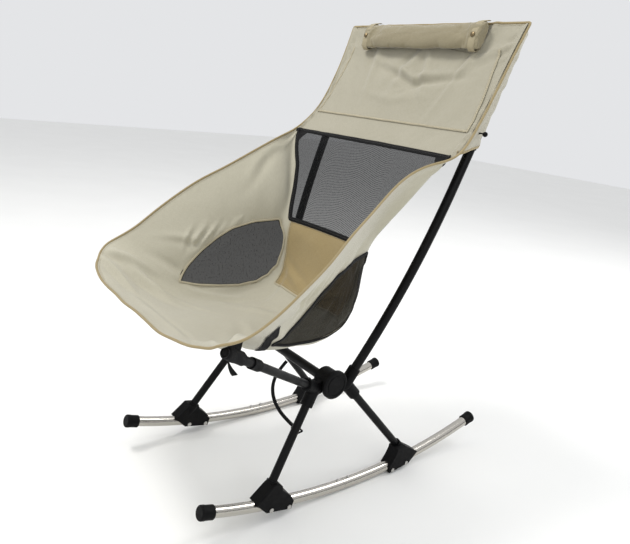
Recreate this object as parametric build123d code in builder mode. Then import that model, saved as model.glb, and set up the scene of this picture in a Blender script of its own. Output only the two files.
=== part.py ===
from build123d import *
from math import cos, degrees, radians, sin, tan
import os

os.makedirs("parts", exist_ok=True)

# Frame: origin on the floor under the rockers' lowest point, halfway between the two rockers.
# +Z is up, the sitter faces -Y and +X is the sitter's left hand. All sizes are in millimetres.
# Every piece is drawn on the sitter's left and mirrored where the chair has a pair.

# Where the empty chair comes to rest: its balance point stands over the rockers' lowest point
rest_tilt = 1.25
rocker_centre_z = 1330.0

# Rockers
rocker_half_spacing = 175.0
rocker_tube_r = 11.0
rocker_wall = 1.5
rocker_arc_r = 1319.0
rocker_tip_angle = 16.26
rocker_joint_angle = -1.68
sleeve_bore_len = 30.0
joint_gap = 0.3
front_foot_angle = -10.65
rear_foot_angle = 6.7
cap_r = 14.0
cap_len = 27.0
cap_plug_len = 18.0
cap_gap = 0.2
cap_inset = 0.6
cap_round = 3.5

# Joining sleeve and snap buttons
running_gap = 0.05
sleeve_len = 56.0
sleeve_wall = 1.5
sleeve_bore_r = 9.8
sleeve_rise = 0.15
button_r = 3.5
button_hole_gap = 0.25
button_offset = 14.0
button_rise = 2.6
button_flange_r = 4.6
button_flange_t = 1.2
button_flange_top = 6.3
button_round = 1.4

# Hubs, poles and legs
hub_front = Vector(139.7, -119.0, 237.0)
hub_rear = Vector(140.3, -36.0, 229.0)
hub_centre = Vector(140.5, -84.0, 245.0)
hub_barrel_r = 25.0
hub_barrel_w = 34.0
hub_web_t = 20.0
hub_disc_r = 30.0
hub_disc_t = 9.0
hub_disc_bevel = 3.0
socket_bevel = 1.5
ring_bevel = 0.5
socket_r = 13.0
socket_len = 40.0
pole_start = 14.0
leg_r = 8.5
seat_pole_r = 8.0
upright_r = 9.5
tube_wall = 1.2
cross_bar_r = 10.0
cross_bar_insert = 12.0
seat_tip = Vector(245.0, -396.0, 405.0)
seat_collar_start = 0.72
seat_collar_len = 26.0
seat_collar_r = 10.5
upright_bend = Vector(209.8, 48.0, 482.0)
upright_bend_r = 2000.0
upright_top = Vector(237.0, 218.0, 974.0)
upright_split = 0.56
ferrule_len = 44.0
ferrule_wall = 1.6

# Shoes that hold the legs on the rockers, as distances along and off the rocker's centre line
shoe_w = 30.0
shoe_outer = -23.0
shoe_inner = 67.0
shoe_drop = -10.0
shoe_top = 43.0
shoe_collar_r = 12.0
shoe_bevel = 1.5
foot_lift = 20.0
rivet_r = 3.0
rivet_head_r = 4.6
rivet_head_t = 1.6
rivet_off = -4.0
rivet_places = (14.0, 57.0)

# Sewn cover
cloth_t = 1.6
mesh_t = 1.0
binding_r = 2.6
binding_off = 3.0
layer_gap = 0.7
pocket_wall = 1.6
corner_pocket_len = 52.0
top_sleeve_len = 190.0
notch_z = 718.0
window_foot_z = 520.0
window_foot_half = 133.0
window_waist_z = 640.0
window_waist_half = 188.0
window_top_half = 243.0
lumbar_foot_z = 372.0
lumbar_foot_half = 118.0
pillow_half = 176.0
pillow_high = 58.0
pillow_deep = 28.0
pillow_drop = 31.0
pillow_out = 17.5
pillow_round = 5.5
tab_at = 160.0
tab_w = 16.0
tab_t = 1.4
tab_lift = 2.2
toggle_at = Vector(263, 122, 768)
toggle_r = 5.0
strap_r = 4.0
strap_points = [(5, -92, 232), (-2, -108, 208), (-3, -118, 180), (2, -118, 152), (14, -110, 126),
                (34, -100, 108), (60, -96, 102)]
buckle_w = 18.0
buckle_t = 7.0
buckle_len = 22.0
buckle_round = 1.5
skin_rows = 30
skin_half_columns = 7
skin_tolerance = 1.0

# Guide lines of the cover, from the front edge to the top edge
centre_guide = [
    (0, -446, 398), (0, -402, 382), (0, -335, 362), (0, -268, 349), (0, -200, 342), (0, -135, 345),
    (0, -80, 362), (0, -42, 408), (0, -18, 500), (0, 18, 600), (0, 66, 705), (0, 112, 770),
    (0, 147, 835), (0, 180, 910), (0, 207, 984),
]
crease_guide = [
    (150, -444, 400), (160, -402, 388), (170, -335, 372), (176, -268, 362), (172, -200, 355),
    (167, -135, 356), (160, -85, 372), (150, -45, 420), (142, -30, 505), (180, 4, 600), (232, 50, 706),
    (236, 106, 770), (236, 144, 835), (238, 178, 910), (242, 207, 984),
]
wall_guide = [
    (212, -438, 410), (230, -402, 416), (235, -337, 418), (222, -273, 425), (208, -212, 445),
    (196, -155, 475), (180, -104, 498), (163, -62, 520), (160, -34, 560), (200, 2, 640), (242, 50, 712),
    (244, 106, 770), (243, 144, 835), (245, 178, 910), (250, 207, 984),
]
rim_guide = [
    (262, -426, 422), (283, -400, 436), (289, -343, 466), (288, -288, 508), (283, -236, 549),
    (270, -188, 586), (256, -140, 616), (242, -90, 649), (234, -38, 681), (240, 10, 703), (253, 50, 718),
    (250, 106, 768), (248, 144, 832), (251, 178, 910), (259, 207, 984),
]


def unit(start, end):
    return (end - start).normalized()


def arc_point(angle):
    """Point on the left rocker's centre line at an angle from its lowest point."""
    rise = rocker_arc_r * (1 - cos(radians(angle)))
    return Vector(rocker_half_spacing, rocker_arc_r * sin(radians(angle)), rocker_tube_r + rise)


def arc_tangent(angle):
    return Vector(0, cos(radians(angle)), sin(radians(angle)))


def arc_normal(angle):
    return Vector(0, -sin(radians(angle)), cos(radians(angle)))


def cut_across(point, direction):
    """Plane at a point whose normal runs along a direction."""
    return Plane(origin=point, z_dir=direction)


def export(builder, node):
    """Turn a piece about the rockers' centre to where the chair comes to rest, and save it."""
    rested = builder.part.rotate(Axis((0, 0, rocker_centre_z), (1, 0, 0)), rest_tilt)
    rested.label = node
    export_step(rested, "parts/" + node + ".step")


def export_pair(builder, node):
    """Save the left piece and its mirror image on the right."""
    export(builder, node + "_left")
    with BuildPart() as twin:
        add(mirror(builder.part, about=Plane.YZ, mode=Mode.PRIVATE))
    export(twin, node + "_right")


front_foot = arc_point(front_foot_angle)
rear_foot = arc_point(rear_foot_angle)
joint_dir = arc_tangent(rocker_joint_angle)
joint_up = arc_normal(rocker_joint_angle)
joint_point = arc_point(rocker_joint_angle) + joint_up * sleeve_rise
front_leg_dir = unit(hub_front, front_foot)
rear_leg_dir = unit(hub_rear, rear_foot)
seat_pole_dir = unit(hub_front, seat_tip)
upright_dir = unit(hub_rear, upright_bend)


# ---------------------------------------------------------------- rockers
def rocker_half(tip_angle, side, rivet_centres):
    """One curved half of a rocker, bored straight at the joint for the sleeve."""
    start_angle = rocker_joint_angle + side * degrees(joint_gap / 2 / rocker_arc_r)
    button_at = joint_point + joint_dir * (side * button_offset)
    with BuildPart() as tube:
        with BuildLine() as arc:
            ThreePointArc(arc_point(start_angle), arc_point((start_angle + tip_angle) / 2), arc_point(tip_angle))
        with BuildSketch(cut_across(arc.line @ 0, arc.line % 0)):
            Circle(rocker_tube_r)
            Circle(rocker_tube_r - rocker_wall, mode=Mode.SUBTRACT)
        sweep(path=arc.line)
        with BuildSketch(cut_across(joint_point - joint_dir * side, joint_dir * side)):
            Circle(sleeve_bore_r)
        extrude(amount=sleeve_bore_len, mode=Mode.SUBTRACT)
        with BuildSketch(cut_across(button_at, joint_up)):
            Circle(button_r + button_hole_gap)
        extrude(amount=2 * rocker_tube_r, mode=Mode.SUBTRACT)
        crossing_holes(rivet_centres, rivet_r)
    return tube


def end_cap(tip_angle, side):
    outward = arc_tangent(tip_angle) * side
    with BuildPart() as cap:
        with BuildSketch(cut_across(arc_point(tip_angle), outward)):
            Circle(cap_r)
        extrude(amount=cap_len - cap_plug_len)
        fillet(cap.edges().filter_by(GeomType.CIRCLE).sort_by(Axis(arc_point(tip_angle), outward))[-1], cap_round)
        with BuildSketch(cut_across(arc_point(tip_angle), outward * -1)):
            Circle(cap_r - cap_inset)
            Circle(rocker_tube_r + cap_gap, mode=Mode.SUBTRACT)
        extrude(amount=cap_plug_len)
    return cap


def joining_sleeve():
    outer = sleeve_bore_r - running_gap
    with BuildPart() as sleeve:
        with BuildSketch(cut_across(joint_point - joint_dir * (sleeve_len / 2), joint_dir)):
            Circle(outer)
            Circle(outer - sleeve_wall, mode=Mode.SUBTRACT)
        extrude(amount=sleeve_len)
        with BuildSketch(cut_across(joint_point - joint_dir * button_offset, joint_up)):
            Circle(button_r + button_hole_gap)
        extrude(amount=rocker_tube_r, mode=Mode.SUBTRACT)
        slot_plane = Plane(origin=joint_point + joint_dir * button_offset, x_dir=joint_dir, z_dir=joint_up)
        with BuildSketch(slot_plane):
            Circle(button_r + button_hole_gap)
            with Locations((sleeve_len / 2, 0)):
                Rectangle(sleeve_len, 2 * (button_r + button_hole_gap))
        extrude(amount=rocker_tube_r, mode=Mode.SUBTRACT)
    return sleeve


def snap_button(side):
    foot = joint_point + joint_dir * (side * button_offset) + joint_up * (button_flange_top - button_flange_t)
    with BuildPart() as button:
        with BuildSketch(cut_across(foot, joint_up)):
            Circle(button_flange_r)
        extrude(amount=button_flange_t)
        with BuildSketch(cut_across(foot, joint_up)):
            Circle(button_r)
        extrude(amount=rocker_tube_r + button_rise - button_flange_top + button_flange_t)
        fillet(button.edges().filter_by(GeomType.CIRCLE).sort_by(Axis(foot, joint_up))[-1], button_round)
    return button


# ---------------------------------------------------------------- shoes
def rivet_points(foot_angle, side):
    """Centres of the two rivets that cross a shoe and the rocker in it."""
    inward = arc_tangent(foot_angle) * side
    off = arc_normal(foot_angle)
    return [arc_point(foot_angle) + inward * place + off * rivet_off for place in rivet_places]


def crossing_holes(points, radius):
    """Cut straight holes from left to right through the piece being built."""
    for point in points:
        with BuildSketch(Plane(origin=point, x_dir=(0, 1, 0), z_dir=(1, 0, 0))) as hole:
            Circle(radius)
        extrude(hole.sketch, amount=shoe_w, both=True, mode=Mode.SUBTRACT)


def shoe(foot_angle, leg_dir, side):
    """Moulded shoe: two cheeks that straddle the rocker and a collar around the leg."""
    foot = arc_point(foot_angle)
    inward = arc_tangent(foot_angle) * side
    off = arc_normal(foot_angle)
    up_leg = leg_dir * -1
    top_mid = shoe_top * up_leg.dot(inward) / up_leg.dot(off)
    outline = [
        (shoe_outer, rocker_tube_r - 1), (5, shoe_drop), (shoe_inner - 2, shoe_drop), (shoe_inner, 7),
        (shoe_inner - 12, 20), (top_mid + shoe_collar_r + 3, shoe_top - 9),
        (top_mid + shoe_collar_r, shoe_top), (top_mid - shoe_collar_r, shoe_top),
    ]
    cheek_plane = Plane(origin=foot - Vector(shoe_w / 2, 0, 0), x_dir=inward, z_dir=inward.cross(off))
    outward = shoe_w * cheek_plane.z_dir.X
    leg_plane = cut_across(foot + up_leg * foot_lift, up_leg)
    with BuildPart() as body:
        with BuildSketch(cheek_plane):
            Polygon(*outline, align=None)
        extrude(amount=outward)
        chamfer(body.faces().filter_by(Axis.X).edges(), shoe_bevel)
        with BuildSketch(leg_plane):
            Circle(shoe_collar_r)
        extrude(amount=shoe_top / up_leg.dot(off) - foot_lift + 2)
        with BuildSketch(leg_plane):
            Circle(leg_r + running_gap)
        extrude(amount=2 * shoe_top, mode=Mode.SUBTRACT)
        with BuildLine() as rocker_run:
            ThreePointArc(*[arc_point(foot_angle + turn) for turn in (-5, 0, 5)])
        with BuildSketch(cut_across(rocker_run.line @ 0, rocker_run.line % 0)):
            Circle(rocker_tube_r + running_gap)
        sweep(path=rocker_run.line, mode=Mode.SUBTRACT)
        crossing_holes(rivet_points(foot_angle, side), rivet_r)
    return body


def rivets(foot_angle, side):
    with BuildPart() as pair:
        for point in rivet_points(foot_angle, side):
            end = point - Vector(shoe_w / 2 + rivet_head_t, 0, 0)
            with BuildSketch(Plane(origin=end, x_dir=(0, 1, 0), z_dir=(1, 0, 0))):
                Circle(rivet_head_r)
            extrude(amount=rivet_head_t)
            with BuildSketch(Plane(origin=end, x_dir=(0, 1, 0), z_dir=(1, 0, 0))):
                Circle(rivet_r)
            extrude(amount=shoe_w + 2 * rivet_head_t)
            with BuildSketch(Plane(origin=point + Vector(shoe_w / 2, 0, 0), x_dir=(0, 1, 0), z_dir=(1, 0, 0))):
                Circle(rivet_head_r)
            extrude(amount=rivet_head_t)
    return pair


for name, foot_angle, leg_dir, side, tip_angle in (
    ("front", front_foot_angle, front_leg_dir, 1, -rocker_tip_angle),
    ("rear", rear_foot_angle, rear_leg_dir, -1, rocker_tip_angle),
):
    export_pair(rocker_half(tip_angle, -side, rivet_points(foot_angle, side)), "rocker_" + name)
    export_pair(end_cap(tip_angle, -side), "rocker_cap_" + name)
    export_pair(shoe(foot_angle, leg_dir, side), "shoe_" + name)
    export_pair(rivets(foot_angle, side), "shoe_rivets_" + name)
    export_pair(snap_button(-side), "snap_button_" + name)
export_pair(joining_sleeve(), "joining_sleeve")


# ---------------------------------------------------------------- hubs, poles and legs
def socket(start, direction, bore_r):
    """Socket arm that leaves the hub along a pole; returned as the arm and its bore."""
    with BuildPart(mode=Mode.PRIVATE) as arm:
        with BuildSketch(cut_across(start, direction)):
            Circle(socket_r)
        extrude(amount=socket_len)
        chamfer(arm.faces().sort_by(Axis(start, direction))[-1].edges(), socket_bevel)
    with BuildPart(mode=Mode.PRIVATE) as bore:
        with BuildSketch(cut_across(start + direction * pole_start, direction)):
            Circle(bore_r)
        extrude(amount=2 * socket_len)
    return arm.part, bore.part


sockets = [
    socket(hub_front, front_leg_dir, leg_r), socket(hub_front, seat_pole_dir, seat_pole_r),
    socket(hub_rear, rear_leg_dir, leg_r), socket(hub_rear, upright_dir, upright_r),
]
disc_start = hub_centre.X + hub_barrel_w / 2
with BuildPart() as hub:
    with BuildSketch(Plane.YZ.offset(hub_centre.X - hub_barrel_w / 2)):
        with Locations((hub_centre.Y, hub_centre.Z)):
            Circle(hub_barrel_r)
    extrude(amount=hub_barrel_w)
    for start in (hub_front, hub_rear):
        with Locations(start):
            Sphere(socket_r + 1.5)
        with BuildSketch(Plane.YZ.offset(start.X - hub_web_t / 2)):
            with BuildLine():
                Line((hub_centre.Y, hub_centre.Z), (start.Y, start.Z))
            trace(line_width=2 * socket_r)
        extrude(amount=hub_web_t)
    for arm, bore in sockets:
        add(arm)
    for arm, bore in sockets:
        add(bore, mode=Mode.SUBTRACT)
    with BuildSketch(Plane.YZ.offset(0)):
        with Locations((hub_centre.Y, hub_centre.Z)):
            Circle(cross_bar_r)
    extrude(amount=hub_centre.X - hub_barrel_w / 2 + cross_bar_insert, mode=Mode.SUBTRACT)
    with BuildSketch(Plane.YZ.offset(disc_start)):
        with Locations((hub_centre.Y, hub_centre.Z)):
            Circle(hub_disc_r + 0.5)
    extrude(amount=socket_len, mode=Mode.SUBTRACT)
export_pair(hub, "hub")

with BuildPart() as hub_disc:
    with BuildSketch(Plane.YZ.offset(disc_start)):
        with Locations((hub_centre.Y, hub_centre.Z)):
            Circle(hub_disc_r)
    extrude(amount=hub_disc_t)
    chamfer(hub_disc.faces().sort_by(Axis.X)[-1].edges(), hub_disc_bevel)
    with BuildSketch(Plane.YZ.offset(disc_start + hub_disc_t)):
        with Locations((hub_centre.Y, hub_centre.Z)):
            Circle(hub_disc_r - 8)
            Circle(hub_disc_r - 10, mode=Mode.SUBTRACT)
    extrude(amount=-1, mode=Mode.SUBTRACT)
export_pair(hub_disc, "hub_disc")

with BuildPart() as cross_bar:
    bar_half = hub_centre.X - hub_barrel_w / 2 + cross_bar_insert
    with BuildSketch(Plane.YZ.offset(-bar_half)):
        with Locations((hub_centre.Y, hub_centre.Z)):
            Circle(cross_bar_r)
            Circle(cross_bar_r - tube_wall, mode=Mode.SUBTRACT)
    extrude(amount=2 * bar_half)
export(cross_bar, "cross_bar")


def straight_tube(start, end, outer_r, wall=tube_wall):
    with BuildPart() as tube:
        with BuildSketch(cut_across(start, unit(start, end))):
            Circle(outer_r)
            Circle(outer_r - wall, mode=Mode.SUBTRACT)
        extrude(amount=(end - start).length)
    return tube


def curved_tube(line, outer_r):
    with BuildPart() as tube:
        with BuildSketch(cut_across(line @ 0, line % 0)):
            Circle(outer_r)
            Circle(outer_r - tube_wall, mode=Mode.SUBTRACT)
        sweep(path=line)
    return tube


front_leg_end = front_foot - front_leg_dir * foot_lift
rear_leg_end = rear_foot - rear_leg_dir * foot_lift
export_pair(straight_tube(hub_front + front_leg_dir * pole_start, front_leg_end, leg_r), "front_leg")
export_pair(straight_tube(hub_rear + rear_leg_dir * pole_start, rear_leg_end, leg_r), "rear_leg")
export_pair(straight_tube(hub_front + seat_pole_dir * pole_start, seat_tip, seat_pole_r), "seat_pole")

upright_joint = upright_bend + (upright_top - upright_bend) * upright_split
with BuildLine() as lower_line:
    FilletPolyline(hub_rear + upright_dir * pole_start, upright_bend, upright_joint, radius=upright_bend_r)
export_pair(curved_tube(lower_line.line, upright_r), "upright_lower")
export_pair(straight_tube(upright_joint, upright_top, upright_r), "upright_upper")


def ring_around(centre, direction, inner_r, outer_r, length):
    with BuildPart() as ring:
        with BuildSketch(cut_across(centre - direction * (length / 2), direction)):
            Circle(outer_r)
            Circle(inner_r, mode=Mode.SUBTRACT)
        extrude(amount=length)
        chamfer(ring.edges().filter_by(GeomType.CIRCLE).group_by(SortBy.RADIUS)[-1], ring_bevel)
    return ring


def export_both(builder, node):
    """Save a pair of identical pieces on the same body as one node."""
    with BuildPart() as pair:
        add(builder.part)
        add(mirror(builder.part, about=Plane.YZ, mode=Mode.PRIVATE))
    export(pair, node)


upper_dir = unit(upright_bend, upright_top)
collar_at = hub_front + (seat_tip - hub_front) * seat_collar_start
export_both(ring_around(collar_at, seat_pole_dir, seat_pole_r, seat_collar_r, seat_collar_len), "seat_pole_collars")
export_both(
    ring_around(upright_joint, upper_dir, upright_r, upright_r + ferrule_wall, ferrule_len), "upright_ferrules"
)


# ---------------------------------------------------------------- sewn cover
def mirrored(point):
    return Vector(-point.X, point.Y, point.Z)


guides = [Spline(*[Vector(*p) for p in g]) for g in (centre_guide, crease_guide, wall_guide, rim_guide)]


def station(t):
    """Line across the cover, from the sitter's right to the left, at a fraction of its length."""
    left = [guide @ t for guide in guides]
    return Spline(*[mirrored(p) for p in reversed(left[1:])], *left)


def cloth_grid(t_range, across_range, rows, columns):
    grid = []
    for row in range(rows):
        line = station(t_range[0] + (t_range[1] - t_range[0]) * row / (rows - 1))
        step = (across_range[1] - across_range[0]) / (columns - 1)
        grid.append([line @ (across_range[0] + step * column) for column in range(columns)])
    return grid


def cloth_skin(grid, lift):
    """Smooth surface through a grid of points, lifted off it towards the sitter."""
    rows = len(grid)
    columns = len(grid[0])
    lifted = []
    for i in range(rows):
        line = []
        for j in range(columns):
            down = grid[min(i + 1, rows - 1)][j] - grid[max(i - 1, 0)][j]
            across = grid[i][min(j + 1, columns - 1)] - grid[i][max(j - 1, 0)]
            line.append(grid[i][j] + across.cross(down).normalized() * lift)
        lifted.append(line)
    return Face.make_surface_from_array_of_points(lifted, tol=skin_tolerance, min_deg=3, max_deg=3)


def cloth(t_range, across_range, rows, columns, lift, thickness):
    """Closed solid of one piece of cloth: two skins joined around their edges."""
    grid = cloth_grid(t_range, across_range, rows, columns)
    front = cloth_skin(grid, lift + thickness)
    back = cloth_skin(grid, lift)
    sides = []
    for edge in front.edges():
        twin = min(back.edges(), key=lambda other: (other @ 0.5 - edge @ 0.5).length)
        sides.append(Face.make_surface_from_curves(edge, twin))
    return Solid(Shell([front, back, *sides]))


def front_prism(points, reach):
    """Block with an outline drawn as seen from the front, between two depths."""
    with BuildPart(mode=Mode.PRIVATE) as block:
        with BuildSketch(Plane(origin=(0, reach[0], 0), x_dir=(1, 0, 0), z_dir=(0, -1, 0))):
            Polygon(*points, align=None)
        extrude(amount=reach[0] - reach[1])
    return block.part


whole = cloth((0, 1), (0, 1), skin_rows, 2 * skin_half_columns + 1, -cloth_t / 2, cloth_t)
print("cover", round(whole.volume), whole.is_valid)

window_block = front_prism(
    [(-window_foot_half, window_foot_z), (window_foot_half, window_foot_z),
     (window_waist_half, window_waist_z), (window_top_half, notch_z), (-window_top_half, notch_z),
     (-window_waist_half, window_waist_z)], (150, -75))
lumbar_block = front_prism(
    [(-lumbar_foot_half, lumbar_foot_z), (lumbar_foot_half, lumbar_foot_z),
     (window_foot_half - 4, window_foot_z), (4 - window_foot_half, window_foot_z)], (150, -75))
head_block = front_prism([(-400, notch_z), (400, notch_z), (400, 1100), (-400, 1100)], (400, -200))

lens_back = (-37, 516)
lens_low = (-42, 408)
lens_front = (-266, 372)
with BuildPart() as lens_block:
    with BuildSketch(Plane.YZ.offset(window_foot_half)):
        with BuildLine():
            Spline(lens_front, (-208, 436), (-140, 488), lens_back)
            Spline(lens_back, (-32, 460), lens_low)
            Spline(lens_low, (-85, 366), (-170, 358), lens_front)
        make_face()
    extrude(amount=200)
lens_pair = [lens_block.part, mirror(lens_block.part, about=Plane.YZ)]

with BuildPart() as seat_panel:
    add(whole)
    for block in (window_block, lumbar_block, head_block, *lens_pair):
        add(block, mode=Mode.SUBTRACT)
export(seat_panel, "seat_panel")

for block, node in ((window_block, "back_window"), (lumbar_block, "lumbar_panel"), (head_block, "head_panel")):
    with BuildPart() as panel:
        add(whole)
        add(block, mode=Mode.INTERSECT)
    export(panel, node)

with BuildPart() as side_mesh:
    add(whole)
    add(lens_pair[0], mode=Mode.INTERSECT)
export_pair(side_mesh, "side_mesh")

head_rows = (0.79, 0.955)
with BuildPart() as head_pocket:
    add(cloth(head_rows, (0.08, 0.92), 6, 9, cloth_t / 2 + layer_gap, mesh_t))
export(head_pocket, "head_pocket")

with BuildPart() as corner_tab:
    add(cloth((0.147, 0.167), (0.74, 0.87), 6, 9, -cloth_t / 2 - layer_gap - mesh_t, mesh_t))
    add(whole, mode=Mode.SUBTRACT)
export_pair(corner_tab, "corner_tab")

with BuildPart() as edge_binding:
    rim = [Vector(*p) for p in rim_guide]
    front_half = [Vector(0, -449, 398), Vector(150, -447, 400), Vector(214, -441, 410)]
    with BuildLine() as binding_line:
        Spline(*front_half, *[p + Vector(binding_off, 0, 0) for p in rim])
    with BuildSketch(cut_across(binding_line.line @ 0, binding_line.line % 0)):
        Circle(binding_r)
    sweep(path=binding_line.line)
export_pair(edge_binding, "edge_binding")


def pole_pocket(tip, direction, pole_r, length):
    """Closed fabric sleeve over the end of a pole."""
    with BuildPart() as pocket:
        with BuildSketch(cut_across(tip - direction * length, direction)):
            Circle(pole_r + pocket_wall)
        extrude(amount=length + pocket_wall)
        with BuildSketch(cut_across(tip - direction * length, direction)):
            Circle(pole_r)
        extrude(amount=length, mode=Mode.SUBTRACT)
    return pocket


export_pair(pole_pocket(seat_tip, seat_pole_dir, seat_pole_r, corner_pocket_len), "corner_pocket")
export_pair(pole_pocket(upright_top, upper_dir, upright_r, top_sleeve_len), "top_pocket")


# ---------------------------------------------------------------- head pillow and small webbing
panel_up = unit(Vector(*centre_guide[-2]), Vector(*centre_guide[-1]))
panel_out = Vector(1, 0, 0).cross(panel_up)
top_edge = Vector(*centre_guide[-1])
pillow_centre = top_edge - panel_up * pillow_drop + panel_out * pillow_out


def pillow_plane(x):
    return Plane(origin=pillow_centre + Vector(x, 0, 0), x_dir=panel_up, z_dir=(1, 0, 0))


with BuildPart() as pillow:
    with BuildSketch(pillow_plane(-pillow_half)):
        Ellipse(pillow_high / 2, pillow_deep / 2)
    extrude(amount=2 * pillow_half)
    fillet(pillow.faces().filter_by(Axis.X).edges(), pillow_round)
export(pillow, "pillow")

with BuildPart() as pillow_tabs:
    for x in (-tab_at - tab_w / 2, tab_at - tab_w / 2):
        with BuildSketch(pillow_plane(x)):
            Ellipse(pillow_high / 2 + tab_t, pillow_deep / 2 + tab_t)
            Ellipse(pillow_high / 2, pillow_deep / 2, mode=Mode.SUBTRACT)
        extrude(amount=tab_w)
        over_edge = Plane(origin=top_edge + Vector(x, 0, 0) + panel_up * tab_lift, x_dir=panel_out,
                          z_dir=(1, 0, 0))
        with BuildSketch(over_edge):
            Rectangle(pillow_out, tab_t, align=(Align.MIN, Align.CENTER))
        extrude(amount=tab_w)
export(pillow_tabs, "pillow_tabs")

with BuildPart() as side_toggles:
    for x in (-toggle_at.X, toggle_at.X):
        centre = Vector(x, toggle_at.Y, toggle_at.Z)
        with Locations(centre):
            Sphere(toggle_r)
export(side_toggles, "side_toggles")

strap_route = [Vector(*p) for p in strap_points]
strap_radii = []
for before, corner, after in zip(strap_route[:-2], strap_route[1:-1], strap_route[2:]):
    turn = (corner - before).get_angle(after - corner)
    shorter = min((corner - before).length, (after - corner).length)
    strap_radii.append(0.45 * shorter / tan(radians(turn / 2)))
print("strap radii", [round(r, 1) for r in strap_radii])
with BuildLine() as strap_line:
    FilletPolyline(*strap_route, radius=strap_radii)
with BuildPart() as hang_strap:
    with BuildSketch(cut_across(strap_line.line @ 0, strap_line.line % 0)):
        Circle(strap_r)
    sweep(path=strap_line.line)
print("strap length", round(sum(e.length for e in strap_line.edges()), 1), round(hang_strap.part.volume))
export(hang_strap, "hang_strap")

with BuildPart() as strap_buckle:
    buckle_plane = cut_across(strap_line.line @ 1, strap_line.line % 1)
    with BuildSketch(buckle_plane):
        RectangleRounded(buckle_w, buckle_t, 2)
    extrude(amount=buckle_len)
    fillet(strap_buckle.faces().sort_by(Axis(strap_line.line @ 1, strap_line.line % 1))[-1].edges(), buckle_round)
export(strap_buckle, "strap_buckle")
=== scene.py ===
from math import cos, pi, radians, sin

import bpy
import numpy as np
from mathutils import Matrix, Vector


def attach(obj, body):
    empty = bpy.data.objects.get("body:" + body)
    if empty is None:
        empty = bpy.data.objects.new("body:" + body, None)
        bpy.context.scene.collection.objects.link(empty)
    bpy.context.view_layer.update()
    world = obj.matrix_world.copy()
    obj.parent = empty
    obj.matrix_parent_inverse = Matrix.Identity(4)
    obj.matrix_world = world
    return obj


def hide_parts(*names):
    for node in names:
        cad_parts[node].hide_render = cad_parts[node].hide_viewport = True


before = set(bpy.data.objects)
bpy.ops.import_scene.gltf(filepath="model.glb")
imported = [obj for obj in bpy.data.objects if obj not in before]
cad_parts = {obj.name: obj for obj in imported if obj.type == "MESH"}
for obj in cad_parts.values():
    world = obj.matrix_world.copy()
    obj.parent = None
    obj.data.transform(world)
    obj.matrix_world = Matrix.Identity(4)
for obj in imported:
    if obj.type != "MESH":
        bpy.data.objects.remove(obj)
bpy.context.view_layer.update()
MM = 0.001

# Cover: guide lines from the front edge to the top edge, in millimetres
CENTRE = [(0, -446, 398), (0, -402, 382), (0, -335, 362), (0, -268, 349), (0, -200, 342), (0, -135, 345),
          (0, -80, 362), (0, -42, 408), (0, -18, 500), (0, 18, 600), (0, 66, 705), (0, 112, 770),
          (0, 147, 835), (0, 180, 910), (0, 207, 984)]
CREASE = [(150, -444, 400), (160, -402, 388), (170, -335, 372), (176, -268, 362), (172, -200, 355),
          (167, -135, 356), (160, -85, 372), (150, -45, 420), (142, -30, 505), (180, 4, 600),
          (232, 50, 706), (236, 106, 770), (236, 144, 835), (238, 178, 910), (242, 207, 984)]
WALL = [(212, -438, 410), (230, -402, 416), (235, -337, 418), (222, -273, 425), (208, -212, 445),
        (196, -155, 475), (180, -104, 498), (163, -62, 520), (160, -34, 560), (200, 2, 640),
        (242, 50, 712), (244, 106, 770), (243, 144, 835), (245, 178, 910), (250, 207, 984)]
RIM = [(262, -426, 422), (283, -400, 436), (289, -343, 466), (288, -288, 508), (283, -236, 549),
       (270, -188, 586), (256, -140, 616), (242, -90, 649), (234, -38, 681), (240, 10, 703),
       (253, 50, 718), (250, 106, 768), (248, 144, 832), (251, 178, 910), (259, 207, 984)]
LENS = [(-0.266, 0.372), (-0.240, 0.404), (-0.208, 0.436), (-0.175, 0.464), (-0.140, 0.488), (-0.090, 0.507),
        (-0.037, 0.516), (-0.032, 0.490), (-0.032, 0.460), (-0.036, 0.432), (-0.042, 0.408), (-0.060, 0.383),
        (-0.085, 0.366), (-0.125, 0.357), (-0.170, 0.358), (-0.220, 0.363)]
ROWS = 250
COLUMNS = 191
SEAM_SPACING = 0.004
NOTCH_Z = 0.718
WINDOW_FOOT_Z = 0.520
WINDOW_FOOT_HALF = 0.133
WINDOW_WAIST_Z = 0.640
WINDOW_WAIST_HALF = 0.188
WINDOW_TOP_HALF = 0.243
LUMBAR_FOOT_Z = 0.372
LUMBAR_FOOT_HALF = 0.118
CORNER_ROUND = 0.055

# The whole chair leans about the rockers' centre to where it comes to rest
REST_TILT = radians(1.25)
ROCKER_CENTRE = np.array([0.0, 0.0, 1.33])
TILT = np.array([[1, 0, 0], [0, cos(REST_TILT), -sin(REST_TILT)], [0, sin(REST_TILT), cos(REST_TILT)]])


# ---------------------------------------------------------------- materials
def linear(red, green, blue):
    out = []
    for value in (red, green, blue):
        v = value / 255
        out.append(v / 12.92 if v <= 0.04045 else ((v + 0.055) / 1.055) ** 2.4)
    return (*out, 1.0)


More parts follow.
